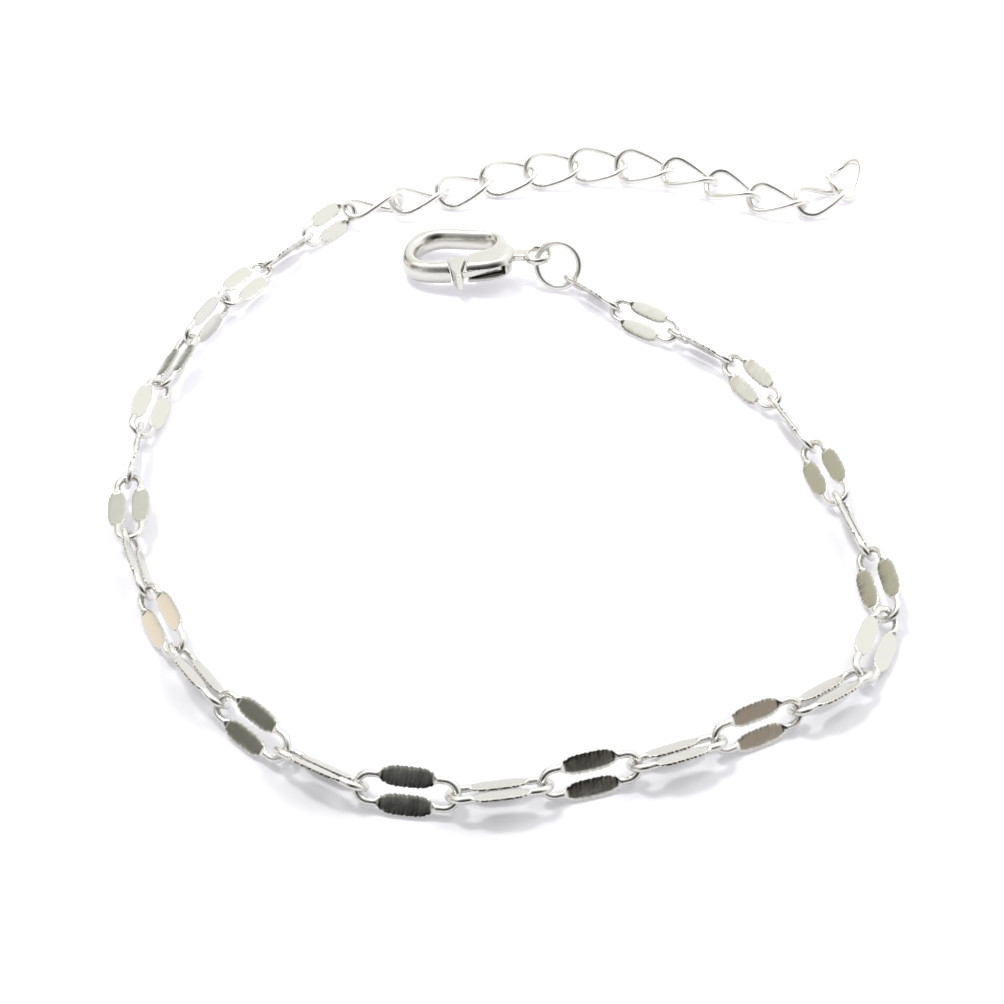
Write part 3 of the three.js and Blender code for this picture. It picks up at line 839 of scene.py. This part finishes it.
def cast(name, solids, cuts, sizes, matrix, finish):
    """One casting from overlapping solids: the first is cut, then all are fused and rounded off."""
    body = linked(name, mesh_of(solids[0], name))
    cutters = [linked(name + "_cut", mesh_of(cut, name + "_cut")) for cut in cuts]
    for cutter in cutters:
        modifier = body.modifiers.new("Cut", "BOOLEAN")
        modifier.object = cutter
        modifier.operation = "DIFFERENCE"
        modifier.solver = "MANIFOLD"
    body.data = evaluated_mesh(body)
    if not body.data.polygons:
        raise RuntimeError(name + ": the cuts left nothing")
    for cutter in cutters:
        bpy.data.meshes.remove(cutter.data)
    fused = bmesh.new()
    fused.from_mesh(body.data)
    for solid in solids[1:]:
        fused.from_mesh(mesh_of(solid, name + "_part"))
    body.data = mesh_of(fused, name)
    remesh = body.modifiers.new("Fuse", "REMESH")
    remesh.mode = "VOXEL"
    remesh.voxel_size = sizes.grain / MM
    smooth = body.modifiers.new("Tumble", "SMOOTH")
    smooth.factor = 0.5
    smooth.iterations = sizes.polish
    body.data = evaluated_mesh(body)
    body.data.transform(matrix)
    body.data.materials.clear()
    body.data.materials.append(finish)
    body.data.shade_smooth()
    return body


def clasp_body_piece(sizes, finish):
    """Hook, spine, cheeks, pin, neck and eye of the clasp."""
    rounding, flare = sizes.rounding / MM, sizes.flare / MM
    middle = CLASP_HEIGHT / 2
    side = -TAB["reach"] - OVERCUT
    half_gap = FORK["gap"] / 2
    body = layered_solid(clasp_outline(), rounded_layers(0, CLASP_HEIGHT, rounding))
    slot = layered_solid(slot_outline(), flared_layers(0, CLASP_HEIGHT, flare))
    hook_end = swing_points(SWING["radius"] + SWING["clearance"], SLOT_HOOK["y"], SWING["outer"])
    cheek_end = [(CHEEK_START, side), (CHEEK_START, SLOT_HOOK["y"])]
    gate_outline = cheek_end + hook_end + [(hook_end[-1][0], side)]
    gate = layered_solid(gate_outline, [(-OVERCUT, 0), (CLASP_HEIGHT + OVERCUT, 0)])
    fork = box_solid(
        (FORK["start"], side, middle - half_gap), (FORK["end"], FORK["inner"], middle + half_gap)
    )
    pin_outline = arc_points(PIVOT["x"], PIVOT["y"], PIVOT["pin"], **WHOLE_TURN)
    pin = layered_solid(pin_outline, [(PIVOT["pin"], 0), (CLASP_HEIGHT - PIVOT["pin"], 0)])
    neck = box_solid(
        (NECK["start"], -NECK["half_width"], middle - NECK["half_height"]),
        (NECK["end"], NECK["half_width"], middle + NECK["half_height"]),
    )
    solids = [body, pin, neck, eye_solid()]
    return cast("clasp_body_casting", solids, [slot, gate, fork], sizes, clasp_matrix(), finish)


def lever_piece(sizes, finish):
    """The lever's plate and its thicker tip with the thumb tab."""
    middle = CLASP_HEIGHT / 2
    plate_outline = [(PLATE["tip"], -PLATE["outer"]), (PLATE["waist"], -WAIST["outer"])]
    plate_outline += arc_points(
        PIVOT["x"], PIVOT["y"], PLATE["tail"], first=-90, last=90, steps=15
    )
    plate_outline += [(PLATE["waist"], -WAIST["inner"]), (PLATE["tip"], -PLATE["inner"])]
    tip_outline = [
        *swing_points(SWING["radius"], -PLATE["inner"], -PLATE["outer"]),
        (TAB["near"], -TAB["reach"]),
        (TAB["far"], -TAB["reach"]),
        (TIP["end"], -TAB["root"]),
        (TIP["end"], -PLATE["inner"]),
    ]
    half_plate, half_tip = PLATE["thickness"] / 2, TIP["thickness"] / 2
    plate = layered_solid(plate_outline, [(middle - half_plate, 0), (middle + half_plate, 0)])
    tip = layered_solid(tip_outline, [(middle - half_tip, 0), (middle + half_tip, 0)])
    hole_outline = arc_points(PIVOT["x"], PIVOT["y"], PIVOT["hole"], **WHOLE_TURN)
    hole = layered_solid(hole_outline, [(0, 0), (CLASP_HEIGHT, 0)])
    return cast("clasp_lever_casting", [plate, tip], [hole], sizes, clasp_matrix(), finish)


# Stage
def surroundings(world, strength):
    """White light with the soft patches that the metal mirrors. The camera sees plain white."""
    world.use_nodes = True
    tree = world.node_tree
    tree.nodes.clear()
    direction = add_node(tree, "ShaderNodeTexCoord").outputs["Generated"]
    colour = linear(WHITE)
    for patch in SURROUNDINGS:
        azimuth, elevation = math.radians(patch["azimuth"]), math.radians(patch["elevation"])
        towards = (
            math.cos(elevation) * math.cos(azimuth),
            math.cos(elevation) * math.sin(azimuth),
            math.sin(elevation),
        )
        nearness = add_node(
            tree, "ShaderNodeVectorMath", {0: direction, 1: towards}, operation="DOT_PRODUCT"
        )
        share = add_node(
            tree,
            "ShaderNodeMapRange",
            {
                "Value": nearness.outputs["Value"],
                "From Min": math.cos(math.radians(patch["gone"])),
                "From Max": math.cos(math.radians(patch["full"])),
            },
            interpolation_type="SMOOTHSTEP",
        )
        patched = {0: share, 6: colour, 7: linear(patch["colour"])}
        colour = add_node(tree, "ShaderNodeMix", patched, data_type="RGBA").outputs[2]
    lit = add_node(tree, "ShaderNodeBackground", {"Color": colour, "Strength": strength})
    plain = add_node(tree, "ShaderNodeBackground", {"Color": linear(WHITE), "Strength": 1.0})
    seen = add_node(tree, "ShaderNodeLightPath").outputs["Is Camera Ray"]
    either = add_node(tree, "ShaderNodeMixShader", {0: seen, 1: lit, 2: plain})
    add_node(tree, "ShaderNodeOutputWorld", {0: either})


def aimed_matrix(place, target):
    """A matrix at a place whose -Z axis looks at a target."""
    looking = Vector(target) - Vector(place)
    return Matrix.Translation(place) @ looking.to_track_quat("-Z", "Y").to_matrix().to_4x4()


def soft_light(name, place, width, power):
    """A round area light that looks at the middle of the floor."""
    light = bpy.data.lights.new(name, "AREA")
    light.shape = "DISK"
    light.size = width
    light.energy = power
    lamp = bpy.data.objects.new(name, light)
    lamp.matrix_world = aimed_matrix(place, (0, 0, 0))
    bpy.context.scene.collection.objects.link(lamp)


class BRACELET_OT_main_chain(bpy.types.Operator):
    """Build the main chain of pressed links"""

    bl_idname = "bracelet.main_chain"
    bl_label = "Main chain"

    def execute(self, context):
        settings = context.scene.bracelet
        sizes = settings.links
        values = {
            "Reach": reach_of(LINK_NODES, sizes.wire),
            "Wire": sizes.wire,
            "Spacing": sizes.spacing,
            "Pad Length": sizes.pad_length,
            "Pad Width": sizes.pad_width,
            "Pad Thickness": sizes.pad_thickness,
            "Crown": sizes.crown,
            "Ramp": sizes.ramp,
            "Notch Spacing": sizes.notch_spacing,
            "Notch Depth": sizes.notch_depth,
            "Wire Finish": plated_silver("drawn_wire", settings.finishes.wire),
            "Pad Finish": rolled_silver(settings.finishes.pad, sizes.notch_spacing),
        }
        frames = frames_mesh("link_frames", [axes_of(node) for node in LINK_NODES])
        piece = grown("main_chain", link_tree(), frames, values)
        settle(piece, BODY, "link_silver", *LINK_NODES)
        return {"FINISHED"}


class BRACELET_OT_extender(bpy.types.Operator):
    """Build the extender of curb links"""

    bl_idname = "bracelet.extender"
    bl_label = "Extender"

    def execute(self, context):
        settings = context.scene.bracelet
        sizes = settings.curbs
        values = {
            "Reach": reach_of(CURB_NODES, sizes.wire),
            "Wire": sizes.wire,
            "Spacing": sizes.spacing,
            "Twist": sizes.twist,
            "Finish": plated_silver("tumbled_wire", settings.finishes.tumbled),
        }
        frames = frames_mesh("curb_frames", [axes_of(node) for node in CURB_NODES])
        piece = grown("extender_chain", curb_tree(), frames, values)
        settle(piece, BODY, "extender_silver", *CURB_NODES)
        return {"FINISHED"}


class BRACELET_OT_ring(bpy.types.Operator):
    """Build the jump ring"""

    bl_idname = "bracelet.ring"
    bl_label = "Jump ring"

    def execute(self, context):
        settings = context.scene.bracelet
        sizes = settings.ring
        values = {
            "Radius": sizes.radius,
            "Wire": sizes.wire,
            "Split": sizes.split,
            "Finish": plated_silver("tumbled_wire", settings.finishes.tumbled),
        }
        middle, axes = axes_of("jump_ring")
        upright = Vector(axes.col[2])
        level = Vector((0, 0, 1)).cross(upright).normalized()
        turn = Matrix((level, upright.cross(level), upright)).transposed()
        frames = frames_mesh("ring_frame", [(middle, turn)])
        piece = grown("jump_ring_wire", ring_tree(), frames, values)
        settle(piece, BODY, "ring_silver", "jump_ring")
        return {"FINISHED"}


class BRACELET_OT_clasp_body(bpy.types.Operator):
    """Build the clasp's casting"""

    bl_idname = "bracelet.clasp_body"
    bl_label = "Clasp body"

    def execute(self, context):
        settings = context.scene.bracelet
        finish = plated_silver("casting", settings.finishes.casting)
        piece = clasp_body_piece(settings.clasp, finish)
        settle(piece, BODY, "clasp_silver", "clasp_body")
        return {"FINISHED"}


class BRACELET_OT_clasp_lever(bpy.types.Operator):
    """Build the clasp's lever"""

    bl_idname = "bracelet.clasp_lever"
    bl_label = "Clasp lever"

    def execute(self, context):
        settings = context.scene.bracelet
        finish = plated_silver("casting", settings.finishes.casting)
        piece = lever_piece(settings.clasp, finish)
        settle(piece, LEVER_BODY, "clasp_silver", "clasp_lever")
        return {"FINISHED"}


class BRACELET_OT_stage(bpy.types.Operator):
    """Lay the floor, set the light and place the camera"""

    bl_idname = "bracelet.stage"
    bl_label = "Stage"

    def execute(self, context):
        look = context.scene.bracelet.stage
        half = FLOOR_SIDE / 2
        corners = [(-half, -half, 0), (half, -half, 0), (half, half, 0), (-half, half, 0)]
        mesh = bpy.data.meshes.new("floor")
        mesh.from_pydata(corners, [], [(0, 1, 2, 3)])
        mesh.materials.append(card_with_painted_glow(look.floor, look.glow_front, look.glow_back))
        linked("floor", mesh)
        context.scene.world = bpy.data.worlds.new("white_room")
        surroundings(context.scene.world, look.sky)
        for row in LIGHTS:
            soft_light(row["name"], row["place"], row["width"], look.key * row["share"])
        camera = bpy.data.cameras.new("camera")
        camera.lens = look.lens
        camera.sensor_width = CAMERA["sensor"]
        camera.clip_start = CAMERA["nearest"]
        eye = bpy.data.objects.new("camera", camera)
        place = Vector(CAMERA["place"])
        down = math.radians(CAMERA["down"])
        looking = Vector((0, math.cos(down), -math.sin(down)))
        eye.matrix_world = aimed_matrix(place, place + looking)
        context.scene.collection.objects.link(eye)
        context.scene.camera = eye
        context.scene.view_settings.view_transform = "Standard"
        return {"FINISHED"}


class BRACELET_PT_panel(bpy.types.Panel):
    """Pieces and settings of the bracelet"""

    bl_idname = "BRACELET_PT_panel"
    bl_label = "Chain Bracelet"
    bl_space_type = "VIEW_3D"
    bl_region_type = "UI"
    bl_category = "Bracelet"

    def draw(self, context):
        settings = context.scene.bracelet
        for operator in OPERATORS:
            self.layout.operator(operator.bl_idname)
        for name in ("links", "curbs", "ring", "clasp", "finishes", "stage"):
            group = getattr(settings, name)
            box = self.layout.box()
            box.label(text=name.capitalize())
            for prop in group.__annotations__:
                box.prop(group, prop)


OPERATORS = (
    BRACELET_OT_stage,
    BRACELET_OT_main_chain,
    BRACELET_OT_extender,
    BRACELET_OT_ring,
    BRACELET_OT_clasp_body,
    BRACELET_OT_clasp_lever,
)
GROUPS = (LinkSizes, CurbSizes, RingSizes, ClaspSizes, Finishes, StageLook, BraceletSettings)
CLASSES = GROUPS + OPERATORS + (BRACELET_PT_panel,)


def register():
    for item in CLASSES:
        bpy.utils.register_class(item)
    bpy.types.Scene.bracelet = PointerProperty(type=BraceletSettings)


def unregister():
    del bpy.types.Scene.bracelet
    for item in reversed(CLASSES):
        bpy.utils.unregister_class(item)


def main():
    register()
    bpy.ops.bracelet.stage()
    bpy.ops.bracelet.main_chain()
    bpy.ops.bracelet.extender()
    bpy.ops.bracelet.ring()
    bpy.ops.bracelet.clasp_body()
    bpy.ops.bracelet.clasp_lever()


if __name__ == "__main__":
    main()
